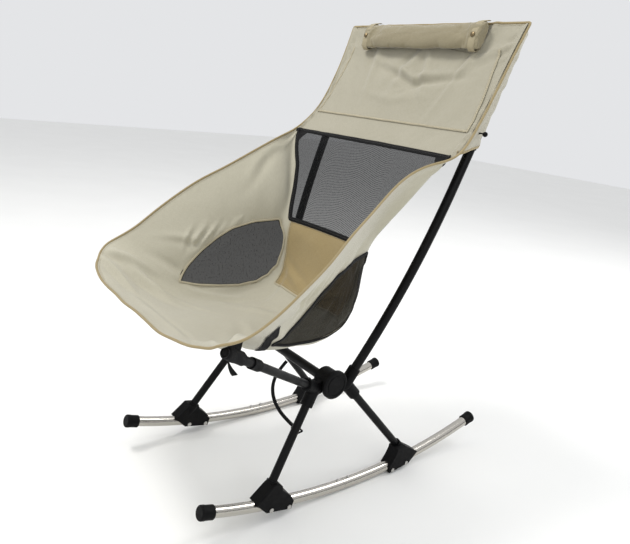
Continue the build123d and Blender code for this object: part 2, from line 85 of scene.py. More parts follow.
class Shader:
    """A node material with a Principled surface and short ways to add to it."""

    def __init__(self, name):
        self.material = bpy.data.materials.new(name)
        self.material.use_nodes = True
        self.tree = self.material.node_tree
        self.tree.nodes.clear()
        self.out = self.node("ShaderNodeOutputMaterial")
        self.skin = self.node("ShaderNodeBsdfPrincipled")
        self.link(self.skin.outputs["BSDF"], self.out.inputs["Surface"])

    def node(self, kind, **settings):
        made = self.tree.nodes.new(kind)
        for key, value in settings.items():
            setattr(made, key, value)
        return made

    def link(self, source, target):
        self.tree.links.new(source, target)

    def feed(self, target, value):
        if isinstance(value, (int, float)):
            target.default_value = value
        else:
            self.link(value, target)

    def calc(self, operation, a, b=0.0, clamp=False):
        made = self.node("ShaderNodeMath", operation=operation, use_clamp=clamp)
        self.feed(made.inputs[0], a)
        self.feed(made.inputs[1], b)
        return made.outputs[0]

    def coords(self, flat):
        source = self.node("ShaderNodeTexCoord")
        split = self.node("ShaderNodeSeparateXYZ")
        self.vector = source.outputs["UV" if flat else "Object"]
        self.link(self.vector, split.inputs[0])
        return split.outputs

    def noise(self, scale, detail=3.0, stretch=None, rough=0.55):
        made = self.node("ShaderNodeTexNoise")
        made.inputs["Scale"].default_value = scale
        made.inputs["Detail"].default_value = detail
        made.inputs["Roughness"].default_value = rough
        if stretch is None:
            self.link(self.vector, made.inputs["Vector"])
        else:
            mapping = self.node("ShaderNodeMapping")
            mapping.inputs["Scale"].default_value = stretch
            self.link(self.vector, mapping.inputs["Vector"])
            self.link(mapping.outputs[0], made.inputs["Vector"])
        return made.outputs["Fac"]

    def spread(self, value, low, high, out_low=0.0, out_high=1.0):
        made = self.node("ShaderNodeMapRange")
        self.feed(made.inputs["Value"], value)
        for key, number in (("From Min", low), ("From Max", high), ("To Min", out_low), ("To Max", out_high)):
            made.inputs[key].default_value = number
        return made.outputs["Result"]

    def mix(self, share, first, second, blend="MIX"):
        made = self.node("ShaderNodeMix", data_type="RGBA", blend_type=blend)
        self.feed(made.inputs[0], share)
        for socket, value in ((made.inputs[6], first), (made.inputs[7], second)):
            if isinstance(value, tuple):
                socket.default_value = value
            else:
                self.link(value, socket)
        return made.outputs[2]

    def bump(self, height, strength, distance, after=None):
        made = self.node("ShaderNodeBump")
        made.inputs["Strength"].default_value = strength
        made.inputs["Distance"].default_value = distance
        self.link(height, made.inputs["Height"])
        if after is not None:
            self.link(after, made.inputs["Normal"])
        return made.outputs["Normal"]

    def put(self, **values):
        for key, value in values.items():
            socket = self.skin.inputs[key.replace("_", " ")]
            if isinstance(value, (int, float, tuple)):
                socket.default_value = value
            else:
                self.link(value, socket)


def woven(name, light, dark, pitch=0.0011, flat=True, sheen=0.35, crumple=0.0010, slub=0.55):
    """Plain-weave polyester: crossing threads, slubs, soft mottling and a fine crumple."""
    s = Shader(name)
    x, y, z = s.coords(flat)
    across = s.calc("SINE", s.calc("MULTIPLY", x, 2 * pi / pitch))
    along = s.calc("SINE", s.calc("MULTIPLY", y if flat else z, 2 * pi / pitch))
    threads = s.calc("MULTIPLY", across, along)
    warp = s.noise(1.0, 2.0, (1400, 110, 300))
    weft = s.noise(1.0, 2.0, (110, 1400, 300))
    slubs = s.spread(s.calc("ADD", warp, weft), 0.75, 1.25, 0.0, 1.0)
    mottle = s.noise(14.0, 4.0)
    share = s.calc("ADD", s.calc("MULTIPLY", slubs, slub), s.calc("MULTIPLY", mottle, 1 - slub), clamp=True)
    colour = s.mix(share, dark, light)
    # Painted shade: the cloth colour is darkened by up to a tenth in the valleys between the crossing threads
    valley_shade = s.spread(threads, -1.0, 0.2, 0.90, 1.0)
    shade = s.node("ShaderNodeCombineColor")
    for socket in shade.inputs[:3]:
        s.link(valley_shade, socket)
    colour = s.mix(1.0, colour, shade.outputs[0], "MULTIPLY")
    soft = s.bump(s.noise(38.0, 3.0), 0.55, crumple)
    fine = s.bump(threads, 0.35, 0.00022, soft)
    s.put(Base_Color=colour, Roughness=0.86, Normal=fine)
    s.put(Sheen_Weight=sheen, Sheen_Roughness=0.45, Specular_IOR_Level=0.22)
    return s.material


def open_mesh(name, light, dark, pitch, cover, tint=0.0):
    """Knitted see-through mesh: round holes in rows, set half a pitch over from row to row."""
    s = Shader(name)
    x, y, z = s.coords(True)
    slant = s.calc("MULTIPLY", y, 0.577)
    one = s.calc("SINE", s.calc("MULTIPLY", s.calc("ADD", x, slant), 2 * pi / pitch))
    two = s.calc("SINE", s.calc("MULTIPLY", s.calc("SUBTRACT", x, slant), 2 * pi / pitch))
    holes = s.spread(s.calc("MULTIPLY", one, two), cover - 0.22, cover + 0.22, 1.0, 0.0)
    uneven = s.noise(220.0, 3.0)
    colour = s.mix(s.noise(20.0, 3.0), dark, light)
    alpha = s.calc("MULTIPLY", holes, s.spread(uneven, 0.3, 0.7, 0.86, 1.0), clamp=True)
    solid = s.calc("MAXIMUM", alpha, tint)
    s.put(Base_Color=colour, Roughness=0.7, Alpha=solid, Normal=s.bump(holes, 0.4, 0.0003))
    s.put(Specular_IOR_Level=0.1)
    return s.material


def webbing(name, colour, edge, pitch=0.0016, flat=True, sheen=0.25, shine=0.3):
    """Narrow woven tape with a herringbone rib."""
    s = Shader(name)
    x, y, z = s.coords(flat)
    rib = s.calc("SINE", s.calc("MULTIPLY", s.calc("ADD", x, y if flat else z), 2 * pi / pitch))
    cross = s.calc("SINE", s.calc("MULTIPLY", s.calc("SUBTRACT", x, y), 2 * pi / pitch))
    threads = s.calc("MAXIMUM", rib, cross)
    # Painted highlight: the raised threads of the rib take the lighter edge colour; the noise patches on the next
    # line are wear
    tone = s.mix(s.spread(threads, -0.6, 1.0), colour, edge)
    worn = s.mix(s.spread(s.noise(60.0, 4.0), 0.45, 0.75, 0.0, 0.35), tone, edge)
    s.put(Base_Color=worn, Roughness=0.72, Normal=s.bump(threads, 0.5, 0.0003))
    s.put(Sheen_Weight=sheen, Sheen_Roughness=0.4, Specular_IOR_Level=shine)
    return s.material


def painted(name, colour, lit, roughness=0.38, grain=900.0):
    """Powder-coated tube: fine orange peel, faint rubbing and dust."""
    s = Shader(name)
    s.coords(False)
    rub = s.spread(s.noise(26.0, 5.0), 0.42, 0.78, 0.0, 0.5)
    tone = s.mix(rub, colour, lit)
    s.put(Base_Color=tone, Roughness=s.spread(s.noise(45.0, 3.0), 0.3, 0.7, roughness - 0.07, roughness + 0.12))
    s.put(Normal=s.bump(s.noise(grain, 2.0), 0.18, 0.0002), Metallic=0.0)
    s.put(Specular_IOR_Level=0.13, Coat_Weight=0.02, Coat_Roughness=0.3)
    return s.material


def moulded(name, colour, lit, roughness=0.55):
    """Glass-filled plastic: spark-eroded grain, paler scuffs."""
    s = Shader(name)
    s.coords(False)
    scuff = s.spread(s.noise(55.0, 6.0, rough=0.7), 0.52, 0.72, 0.0, 0.6)
    tone = s.mix(scuff, colour, lit)
    s.put(Base_Color=tone, Roughness=s.spread(s.noise(120.0, 3.0), 0.3, 0.7, roughness - 0.08, roughness + 0.1))
    s.put(Normal=s.bump(s.noise(1400.0, 2.0), 0.35, 0.00018), Specular_IOR_Level=0.11)
    return s.material


def metal(name, colour, roughness, streak, spots=0.1):
    """Bare metal with drawing lines along it and a few dull patches."""
    s = Shader(name)
    s.coords(False)
    lines = s.noise(1.0, 3.0, streak)
    dull = s.spread(s.noise(30.0, 5.0), 0.45, 0.8, 0.0, spots)
    s.put(Base_Color=s.mix(dull, colour, linear(120, 118, 114)), Metallic=1.0)
    s.put(Roughness=s.calc("ADD", s.spread(lines, 0.2, 0.8, roughness - 0.05, roughness + 0.08), dull))
    s.put(Normal=s.bump(lines, 0.12, 0.0001))
    return s.material


cream = woven("cream_weave", linear(194, 190, 172), linear(174, 169, 150))
# Painted shade: the head panel, its pocket and pole wraps use the seat's cream made darker, so the head, which
# catches more light, shows as dim as the seat
shaded_head_cream = woven("head_weave", linear(177, 172, 154), linear(157, 152, 134))
tan = woven("tan_weave", linear(174, 155, 113), linear(154, 135, 94))
pillow_tan = woven("pillow_weave", linear(154, 145, 119), linear(132, 123, 99), crumple=0.0014)
window_mesh = open_mesh("window_mesh", linear(16, 17, 19), linear(9, 10, 11), 0.0046, 0.05, 0.74)
lens_mesh = open_mesh("lens_mesh", linear(30, 28, 24), linear(16, 15, 13), 0.0046, 0.05, 0.93)
black_tape = webbing("black_tape", linear(12, 12, 13), linear(24, 24, 25), sheen=0.02, shine=0.14)
black_tape_cad = webbing("black_tape_plain", linear(12, 12, 13), linear(24, 24, 25), flat=False, sheen=0.02,
                         shine=0.14)
pillow_tape = webbing("pillow_tape", linear(150, 139, 110), linear(170, 160, 133), sheen=0.1)
tan_tape = webbing("tan_tape", linear(146, 130, 94), linear(164, 148, 112), sheen=0.1)
cream_tape = webbing("cream_tape", linear(172, 163, 138), linear(186, 178, 154), sheen=0.1)
thread = webbing("sewing_thread", linear(186, 175, 148), linear(208, 198, 174), 0.0006, sheen=0.1)
dark_thread = webbing("dark_thread", linear(46, 45, 44), linear(70, 69, 67), 0.0006)
black_paint = painted("black_coat", linear(9, 9, 10), linear(19, 19, 20))
black_plastic = moulded("black_plastic", linear(10, 10, 11), linear(22, 22, 23))
bright = metal("polished_alloy", linear(192, 188, 180), 0.15, (700, 25, 700), 0.03)
snap_metal = metal("snap_metal", linear(128, 112, 84), 0.34, (400, 400, 400), 0.3)
steel = metal("bright_steel", linear(190, 188, 184), 0.24, (400, 400, 400), 0.05)
cream_cad = woven("cream_plain", linear(194, 190, 172), linear(174, 169, 150), flat=False)

slot_looks = {"black_tube": black_paint, "black_moulding": black_plastic, "polished_tube": bright,
              "bright_steel": steel, "cream_cloth": cream_cad, "tan_cloth": tan, "grey_mesh": window_mesh,
              "black_webbing": black_tape_cad}
for name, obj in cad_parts.items():
    for holder in obj.material_slots:
        slot_name = holder.material.name.split(".")[0] if holder.material else ""
        look = next((m for key, m in slot_looks.items() if key in slot_name), None)
        if look is not None:
            holder.material = look


# ---------------------------------------------------------------- building blocks
def leaned(points):
    """Points of the upright chair, moved to where it rests."""
    return (np.asarray(points, float) - ROCKER_CENTRE) @ TILT.T + ROCKER_CENTRE


def make_object(name, points, faces, material, uvs=None):
    mesh = bpy.data.meshes.new(name)
    mesh.from_pydata(leaned(points).tolist(), [], faces)
    if uvs is not None:
        layer = mesh.uv_layers.new(name="cloth")
        loops = np.empty(len(mesh.loops), dtype=np.int32)
        mesh.loops.foreach_get("vertex_index", loops)
        layer.data.foreach_set("uv", np.asarray(uvs, dtype=np.float32)[loops].ravel())
    mesh.polygons.foreach_set("use_smooth", [True] * len(mesh.polygons))
    mesh.update()
    obj = bpy.data.objects.new(name, mesh)
    bpy.context.scene.collection.objects.link(obj)
    mesh.materials.append(material)
    return obj


def spline_through(points, count):
    """Points spaced evenly by length along a natural cubic line through the given ones."""
    p = np.asarray(points, float)
    step = np.linalg.norm(np.diff(p, axis=0), axis=1)
    at = np.concatenate([[0], np.cumsum(step)])
    n = len(p)
    left = np.zeros((n, n))
    right = np.zeros((n, p.shape[1]))
    left[0, 0] = 1
    left[-1, -1] = 1
    for i in range(1, n - 1):
        before, after = step[i - 1], step[i]
        left[i, i - 1:i + 2] = (before, 2 * (before + after), after)
        right[i] = 6 * ((p[i + 1] - p[i]) / after - (p[i] - p[i - 1]) / before)
    bend = np.linalg.solve(left, right)
    fine = np.linspace(0, at[-1], max(500, 5 * count))
    i = np.clip(np.searchsorted(at, fine, side="right") - 1, 0, n - 2)
    h = step[i][:, None]
    a = (at[i + 1] - fine)[:, None] / h
    b = (fine - at[i])[:, None] / h
    line = a * p[i] + b * p[i + 1] + ((a ** 3 - a) * bend[i] + (b ** 3 - b) * bend[i + 1]) * h ** 2 / 6
    return even(line, count)


def even(line, count, closed=False):
    """The same line with its points spaced evenly."""
    line = np.asarray(line, float)
    if closed:
        line = np.vstack([line, line[:1]])
    run = np.concatenate([[0], np.cumsum(np.linalg.norm(np.diff(line[:, :3], axis=0), axis=1))])
    want = np.linspace(0, run[-1], count + 1)[:-1] if closed else np.linspace(0, run[-1], count)
    return np.stack([np.interp(want, run, line[:, k]) for k in range(line.shape[1])], axis=1)


def unit(v):
    return v / np.maximum(np.linalg.norm(v, axis=-1, keepdims=True), 1e-12)


def sheet_faces(rows, columns):
    """Quads between the points of a grid that is listed row by row."""
    return [(i * columns + j, i * columns + j + 1, (i + 1) * columns + j + 1, (i + 1) * columns + j)
            for i in range(rows - 1) for j in range(columns - 1)]


def tape(name, line, normals, profile, material, closed=False):
    """Strip or cord swept along a line that lies on cloth; the profile is (sideways, outward)."""
    n = len(line)
    ahead = np.roll(line, -1, axis=0) - np.roll(line, 1, axis=0)
    if not closed:
        ahead[0] = line[1] - line[0]
        ahead[-1] = line[-1] - line[-2]
    ahead = unit(ahead)
    out = unit(normals - ahead * np.sum(normals * ahead, axis=1, keepdims=True))
    side = np.cross(ahead, out)
    run = np.concatenate([[0], np.cumsum(np.linalg.norm(np.diff(line, axis=0), axis=1))])
    k = len(profile)
    points = []
    uvs = []
    for i in range(n):
        for j, (w, h) in enumerate(profile):
            points.append(line[i] + side[i] * w + out[i] * h)
            uvs.append((w + h, run[i]))
    faces = []
    for i in range(n if closed else n - 1):
        nxt = (i + 1) % n
        for j in range(k):
            faces.append((i * k + j, i * k + (j + 1) % k, nxt * k + (j + 1) % k, nxt * k + j))
    if not closed:
        faces.append(tuple(range(k))[::-1])
        faces.append(tuple((n - 1) * k + j for j in range(k)))
    return make_object(name, points, faces, material, uvs)


def flat_profile(width, thick, lift=0.0):
    w, t = width / 2, thick / 2
    top = [(-w, 0.5), (-w * 0.88, 1.0), (0, 1.1), (w * 0.88, 1.0), (w, 0.5)]
    round_it = [(-w, -0.5), *top, (w, -0.5), (w * 0.88, -1.0), (0, -1.1), (-w * 0.88, -1.0)]
    return [(aside, lift + t * share) for aside, share in round_it]


def round_profile(width, height, lift=0.0, count=10):
    angles = [2 * pi * j / count for j in range(count)]
    return [(cos(angle) * width / 2, lift - sin(angle) * height / 2) for angle in angles]


def stitches(name, line, normals, material, lift=0.0011, closed=False, pitch=0.0042, length=0.0030,
             thick=0.0005):
    """A row of sewn stitches, each a short rounded bar sunk at its ends."""
    run = float(np.linalg.norm(np.diff(line, axis=0), axis=1).sum())
    count = max(4, int(run / pitch))
    both = even(np.hstack([line, normals]), count, closed)
    ahead = unit(np.gradient(both[:, :3], axis=0))
    points = []
    faces = []
    uvs = []
    for i in range(0, len(both)):
        centre, out, along = both[i, :3], unit(both[i, 3:]), ahead[i]
        side = np.cross(along, out)
        base = len(points)
        for step, swell in ((-0.5, 0.35), (-0.2, 1.0), (0.2, 1.0), (0.5, 0.35)):
            for w, h in ((-1, 0), (0, 1), (1, 0), (0, -1)):
                points.append(centre + along * step * length + side * w * thick * swell
                              + out * (lift * (0.45 + 0.55 * swell) + h * thick * 0.6 * swell))
                uvs.append((w * thick, step * length + i * pitch))
        for ring in range(3):
            for j in range(4):
                a = base + ring * 4
                faces.append((a + j, a + (j + 1) % 4, a + 4 + (j + 1) % 4, a + 4 + j))
    return make_object(name, points, faces, material, uvs)


def ride_all(body, *objs):
    for obj in objs:
        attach(obj, body)


# ---------------------------------------------------------------- cover surface
guides = [spline_through(np.array(g) * MM, ROWS) for g in (CENTRE, CREASE, WALL, RIM)]
flip = np.array([-1.0, 1.0, 1.0])
grid = np.zeros((ROWS, COLUMNS, 3))
for row in range(ROWS):
    left = [g[row] for g in guides]
    grid[row] = spline_through([p * flip for p in left[:0:-1]] + left, COLUMNS)

down = np.gradient(grid, axis=0)
across = np.gradient(grid, axis=1)
normal = unit(np.cross(across, down))
u_run = np.zeros((ROWS, COLUMNS))
u_run[:, 1:] = np.cumsum(np.linalg.norm(np.diff(grid, axis=1), axis=2), axis=1)
u_run -= u_run[:, COLUMNS // 2][:, None]
v_run = np.zeros((ROWS, COLUMNS))
v_run[1:] = np.cumsum(np.linalg.norm(np.diff(grid, axis=0), axis=2), axis=0)
a_of, t_of = np.meshgrid(np.linspace(-1, 1, COLUMNS), np.linspace(0, 1, ROWS))


def fold(u, v, at, heading, length, width, depth):
    """One soft wrinkle: a ridge with a shallow valley beside it."""
    c, s = cos(radians(heading)), sin(radians(heading))
    along = ((u - at[0]) * c + (v - at[1]) * s) / length
    aside = (-(u - at[0]) * s + (v - at[1]) * c) / width
    aside = aside + 0.25 * np.sin(along * 2.1 + at[0] * 9)
    ridge = np.exp(-aside ** 2) - 0.65 * np.exp(-(aside - 1.7) ** 2)
    return depth * np.exp(-along ** 2) * ridge


def cloth_lift(u, v, a, z):
    """How far the cloth stands off its smooth shape, from pulls at the poles and from sitting."""
    out = np.zeros_like(u)
    mirror_u = np.abs(u)
    seat = np.clip((0.52 - z) / 0.05, 0, 1)
    head = np.clip((z - 0.73) / 0.03, 0, 1)
    lumbar = np.clip((z - 0.37) / 0.03, 0, 1) * np.clip((0.515 - z) / 0.03, 0, 1)
    for at, heading, length, width, depth in SEAT_FOLDS:
        out += seat * fold(mirror_u, v, at, heading, length, width, depth)
    for at, heading, length, width, depth in ODD_FOLDS:
        out += fold(u, v, at, heading, length, width, depth)
    for at, heading, length, width, depth in HEAD_FOLDS:
        out += head * fold(u, v, at, heading, length, width, depth)
    out *= FOLD_DEPTH
    side_strip = head * np.clip((np.abs(a) - 0.80) / 0.08, 0, 1)
    puckers = np.sin(v * 160 + u * 90 + 3 * np.sin(v * 37)) * (0.6 + 0.4 * np.sin(v * 61))
    out += side_strip * 0.0024 * puckers
    out += lumbar * 0.0011 * np.sin(u * 46 + 3 * np.sin(v * 12)) * np.cos(v * 31)
    out += 0.0005 * np.sin(u * 61 + v * 23 + 2 * np.sin(v * 17)) * np.sin(v * 43 - u * 19)
    return out


FOLD_DEPTH = 2.2
NEAR_PULLS = [((0.250, 0.33), 40, 0.060, 0.009, 0.0014), ((0.235, 0.37), 20, 0.060, 0.009, -0.0012),
              ((0.262, 0.28), 62, 0.060, 0.010, 0.0013), ((0.225, 0.41), 75, 0.050, 0.010, 0.0014)]
LENS_PULLS = NEAR_PULLS + [((0.305, 0.225 + 0.026 * k), 30 + 9 * k, 0.030 + 0.004 * (k % 3),
                            0.0046 + 0.0009 * (k % 2), 0.0020 + 0.0006 * (k % 3)) for k in range(9)]
SEAT_FOLDS = LENS_PULLS + [
              ((0.27, 0.30), 66, 0.050, 0.009, 0.0030), ((0.30, 0.34), 74, 0.055, 0.008, 0.0026),
              ((0.29, 0.38), 84, 0.055, 0.008, 0.0028), ((0.28, 0.26), 54, 0.050, 0.009, 0.0026),
              ((0.25, 0.08), 118, 0.060, 0.010, 0.0028), ((0.20, 0.045), 160, 0.080, 0.009, 0.0024),
              ((0.20, 0.10), 150, 0.090, 0.012, 0.0034), ((0.13, 0.16), 140, 0.070, 0.010, 0.0018),
              ((0.22, 0.19), 128, 0.070, 0.011, -0.0022), ((0.15, 0.27), 112, 0.060, 0.010, 0.0020),
              ((0.17, 0.36), 96, 0.070, 0.011, 0.0022), ((0.10, 0.40), 80, 0.050, 0.010, -0.0018),
              ((0.06, 0.43), 30, 0.060, 0.009, 0.0018), ((0.30, 0.22), 100, 0.050, 0.009, 0.0014),
              ((0.05, 0.05), 6, 0.090, 0.010, 0.0014)]
ODD_FOLDS = [((-0.22, 0.33), 70, 0.060, 0.010, 0.0024), ((0.25, 0.42), 118, 0.055, 0.009, 0.0020),
             ((-0.30, 0.45), 64, 0.060, 0.009, -0.0018), ((-0.05, 0.30), 24, 0.070, 0.012, 0.0018),
             ((0.08, 0.22), 160, 0.060, 0.012, 0.0016), ((-0.16, 0.12), 40, 0.070, 0.012, 0.0020),
             ((0.27, 0.58), 100, 0.060, 0.008, 0.0016), ((-0.27, 0.60), 84, 0.060, 0.008, 0.0018)]
HEAD_FOLDS = [((0.00, 0.98), 70, 0.060, 0.013, 0.0024), ((0.05, 0.97), 112, 0.055, 0.012, 0.0022),
              ((-0.12, 0.95), 100, 0.060, 0.014, 0.0018), ((0.16, 0.92), 60, 0.060, 0.012, 0.0018),
              ((-0.20, 0.87), 32, 0.060, 0.010, 0.0016), ((0.20, 0.87), 150, 0.060, 0.010, 0.0016)]

table = np.concatenate([grid, normal, u_run[..., None], v_run[..., None], a_of[..., None], t_of[..., None]],
                       axis=2).reshape(-1, 10)
index = np.arange(ROWS * COLUMNS).reshape(ROWS, COLUMNS)
faces = sheet_faces(ROWS, COLUMNS)


def cut_all(faces, table, values):
    """Cut every face along the line where the values change sign, sharing the new corners."""
    added = []
    known = {}
    total = len(table)

    def crossing(a, b):
        key = (a, b) if a < b else (b, a)
        if key not in known:
            share = values[a] / (values[a] - values[b])
            known[key] = total + len(added)
            added.append(table[a] * (1 - share) + table[b] * share)
        return known[key]

    out = []
    near = 1e-4
    signs = np.where(values > near, 1, np.where(values < -near, -1, 0))
    for face in faces:
        marks = [signs[v] for v in face]
        if max(marks) * min(marks) >= 0:
            out.append(face)
            continue
        for keep in (1, -1):
            part = []
            for k, v in enumerate(face):
                w = face[(k + 1) % len(face)]
                if signs[v] * keep >= 0:
                    part.append(v)
                if signs[v] * signs[w] < 0:
                    part.append(crossing(v, w))
            if len(part) >= 3:
                out.append(tuple(part))
    if added:
        table = np.vstack([table, np.array(added)])
    return out, table


def window_half(z):
    return np.interp(z, (WINDOW_FOOT_Z, WINDOW_WAIST_Z, NOTCH_Z),
                     (WINDOW_FOOT_HALF, WINDOW_WAIST_HALF, WINDOW_TOP_HALF))


def lumbar_half(z):
    share = (z - LUMBAR_FOOT_Z) / (WINDOW_FOOT_Z - LUMBAR_FOOT_Z)
    return LUMBAR_FOOT_HALF + (WINDOW_FOOT_HALF - 0.004 - LUMBAR_FOOT_HALF) * share


def inside_outline(y, z, outline):
    """Distance inside a closed outline, negative outside it."""
    ring = np.array(outline)
    best = np.full(y.shape, 1e9)
    inside = np.zeros(y.shape, bool)
    for k in range(len(ring)):
        ay, az = ring[k]
        by, bz = ring[(k + 1) % len(ring)]
        dy, dz = by - ay, bz - az
        share = np.clip(((y - ay) * dy + (z - az) * dz) / (dy * dy + dz * dz), 0, 1)
        best = np.minimum(best, np.hypot(y - ay - share * dy, z - az - share * dz))
        crosses = (az > z) != (bz > z)
        at = ay + (z - az) * dy / np.where(abs(bz - az) < 1e-12, 1e-12, bz - az)
        inside ^= crosses & (y < at)
    return np.where(inside, best, -best)


def lens_value(rows):
    flat_value = inside_outline(rows[:, 1], rows[:, 2], LENS)
    return np.minimum(flat_value, np.abs(rows[:, 0]) - WINDOW_FOOT_HALF)


def corner_value(rows):
    """Positive outside the rounded front corners."""
    edge_run = np.abs(rows[:, 6]) / np.maximum(np.abs(rows[:, 8]), 1e-6) * (1 - np.abs(rows[:, 8]))
    a = np.clip(CORNER_ROUND - edge_run, 0, None)
    b = np.clip(CORNER_ROUND - rows[:, 7], 0, None)
    return np.hypot(a, b) - CORNER_ROUND


cuts = [lambda r: r[:, 2] - NOTCH_Z, lambda r: r[:, 2] - WINDOW_FOOT_Z,
        lambda r: np.where(r[:, 1] > -0.08, r[:, 2] - LUMBAR_FOOT_Z, 1.0),
        lambda r: np.where((r[:, 2] > WINDOW_FOOT_Z - 0.003) & (r[:, 2] < NOTCH_Z + 0.003),
                           window_half(r[:, 2]) - np.abs(r[:, 0]), 1.0),
        lambda r: np.where((r[:, 2] > LUMBAR_FOOT_Z - 0.004) & (r[:, 2] < WINDOW_FOOT_Z + 0.003)
                           & (r[:, 1] > -0.08), lumbar_half(r[:, 2]) - np.abs(r[:, 0]), 1.0),
        lens_value, corner_value]
for cut in cuts:
    faces, table = cut_all(faces, table, cut(table))

lift = cloth_lift(table[:, 6], table[:, 7], table[:, 8], table[:, 2])
edge_calm = np.clip((1 - np.abs(table[:, 8])) / 0.08, 0, 1)
seam_calm = 0.3 + 0.7 * np.clip(np.abs(lens_value(table)) / 0.014, 0, 1)
lifted = table[:, :3] + table[:, 3:6] * (lift * seam_calm * (0.12 + 0.88 * edge_calm))[:, None]

middles = np.array([table[list(f), :].mean(axis=0) for f in faces])
in_head = middles[:, 2] > NOTCH_Z
in_window = (~in_head) & (middles[:, 2] > WINDOW_FOOT_Z) & (np.abs(middles[:, 0]) < window_half(middles[:, 2]))
in_lumbar = ((middles[:, 2] < WINDOW_FOOT_Z) & (middles[:, 2] > LUMBAR_FOOT_Z) & (middles[:, 1] > -0.08)
             & (np.abs(middles[:, 0]) < lumbar_half(middles[:, 2])))
in_lens = lens_value(middles) > 0
cut_off = corner_value(middles) > 0
region = np.where(cut_off, 9, np.where(in_lens, 4, np.where(in_head, 1, np.where(
    in_window, 2, np.where(in_lumbar, 3, 0)))))


def patch(name, chosen, material, offset=0.0):
    """Mesh of the faces chosen, with the area they cover."""
    own = [faces[k] for k in np.nonzero(chosen)[0]]
    used = sorted({v for f in own for v in f})
    place = {v: k for k, v in enumerate(used)}
    points = lifted[used] + table[used, 3:6] * offset
    return make_object(name, points, [tuple(place[v] for v in f) for f in own], material, table[used][:, 6:8])


def loops_of(chosen):
    """Closed lines around the faces chosen, as rows of the table."""
    seen = {}
    for k in np.nonzero(chosen)[0]:
        f = faces[k]
        for i in range(len(f)):
            a, b = f[i], f[(i + 1) % len(f)]
            if (b, a) in seen:
                del seen[(b, a)]
            else:
                seen[(a, b)] = True
    ahead = {}
    for a, b in seen:
        ahead[a] = b
    rings = []
    while ahead:
        start, now = next(iter(ahead.items()))
        ring = [start]
        del ahead[start]
        while now != start and now in ahead:
            ring.append(now)
            now = ahead.pop(now)
        rings.append(ring)
    return [r for r in rings if len(r) > 20]


def seam_line(ring, spacing=SEAM_SPACING):
    """Evenly spaced points and normals along a ring of table rows."""
    line = np.hstack([lifted[ring], table[ring, 3:6]])
    run = np.linalg.norm(np.diff(line[:, :3], axis=0), axis=1).sum()
    line = even(line, max(12, int(run / spacing)), closed=True)
    line = (np.roll(line, 1, axis=0) + 2 * line + np.roll(line, -1, axis=0)) / 4
    return line[:, :3], unit(line[:, 3:])


def inward(line, normals, distance):
    """The same closed line moved over the cloth towards the middle of its loop."""
    ahead = unit(np.roll(line, -1, axis=0) - np.roll(line, 1, axis=0))
    return line + np.cross(normals, ahead) * distance


seat_cloth = patch("seat_cloth", region == 0, cream)
head_cloth = patch("head_cloth", region == 1, shaded_head_cream)
window_cloth = patch("window_cloth", region == 2, window_mesh)
lumbar_cloth = patch("lumbar_cloth", region == 3, tan)
right_side = middles[:, 0] < 0
lens_left = patch("lens_cloth_left", (region == 4) & ~right_side, lens_mesh)
lens_right = patch("lens_cloth_right", (region == 4) & right_side, lens_mesh)
cover_pieces = [seat_cloth, head_cloth, window_cloth, lumbar_cloth, lens_left, lens_right]


def row_at_height(height, column):
    """Row of the cover's grid, near its top, at a height and a column."""
    heights = grid[ROWS // 2:, int(round(column)), 2]
    return ROWS // 2 + float(np.interp(height, heights, np.arange(len(heights))))


trims = []
outer = max(loops_of(region != 9), key=len)
line, out = seam_line(outer)
rim_piping = tape("rim_piping", line, out, round_profile(0.0050, 0.0044), tan_tape, closed=True)
rim_stitch = stitches("rim_stitches", inward(line, out, 0.0052), out, thread, closed=True)
trims += [rim_stitch]

line, out = seam_line(max(loops_of(region == 2), key=len))
window_tape = tape("window_binding", line, out, flat_profile(0.0105, 0.0026, 0.0004), black_tape, closed=True)
trims += [window_tape, stitches("window_stitches", line, out, dark_thread, lift=0.0021, closed=True)]

for side, sign in (("left", 1), ("right", -1)):
    row = int(round(row_at_height(NOTCH_Z, COLUMNS // 2)))
    corner_points = []
    corner_outs = []
    for u in np.linspace(0, 1, 9):
        for w in np.linspace(0, 1, 5):
            height = NOTCH_Z - 0.001 - 0.030 * u * w
            half = window_half(height) - 0.002 - 0.034 * u * (1 - w)
            near = np.argmin(np.abs(table[:, 0] - sign * half) + np.abs(table[:, 2] - height)
                             + 9 * (np.abs(table[:, 8]) > 0.9) + 9 * (table[:, 1] < -0.06))
            corner_points.append(lifted[near] + table[near, 3:6] * 0.0016)
    quads = sheet_faces(9, 5)
    trims.append(make_object(f"window_gusset_{side}", corner_points, quads, black_tape,
                             [(p[0], p[2]) for p in corner_points]))

line, out = seam_line(max(loops_of(region == 3), key=len))
lumbar_seam = tape("lumbar_seam", line, out, flat_profile(0.0050, 0.0018, 0.0003), cream_tape, closed=True)
trims += [lumbar_seam]
trims += [stitches("lumbar_stitches", inward(line, out, 0.006), out, thread, closed=True)]
for side, mask in (("left", ~right_side), ("right", right_side)):
    line, out = seam_line(max(loops_of((region == 4) & mask), key=len))
    trims.append(tape(f"lens_seam_{side}", line, out, flat_profile(0.0046, 0.0016, 0.0009), cream_tape,
                      closed=True))
    # Painted shade: a black strip along each lens seam stands in for the dark shade line below the seam
    trims.append(tape(f"lens_binding_{side}", line, out, flat_profile(0.0080, 0.0014, -0.0012), black_tape,
                      closed=True))
    trims.append(stitches(f"lens_stitches_{side}", inward(line, out, -0.0046), out, thread, closed=True))

# Pocket that the pillow sits in, a second layer on the head panel
POCKET_ROWS = (0.79, 0.955)
POCKET_ACROSS = (0.08, 0.92)
POCKET_STANDOFF = 0.0016
POCKET_FOOT_Z = 0.768


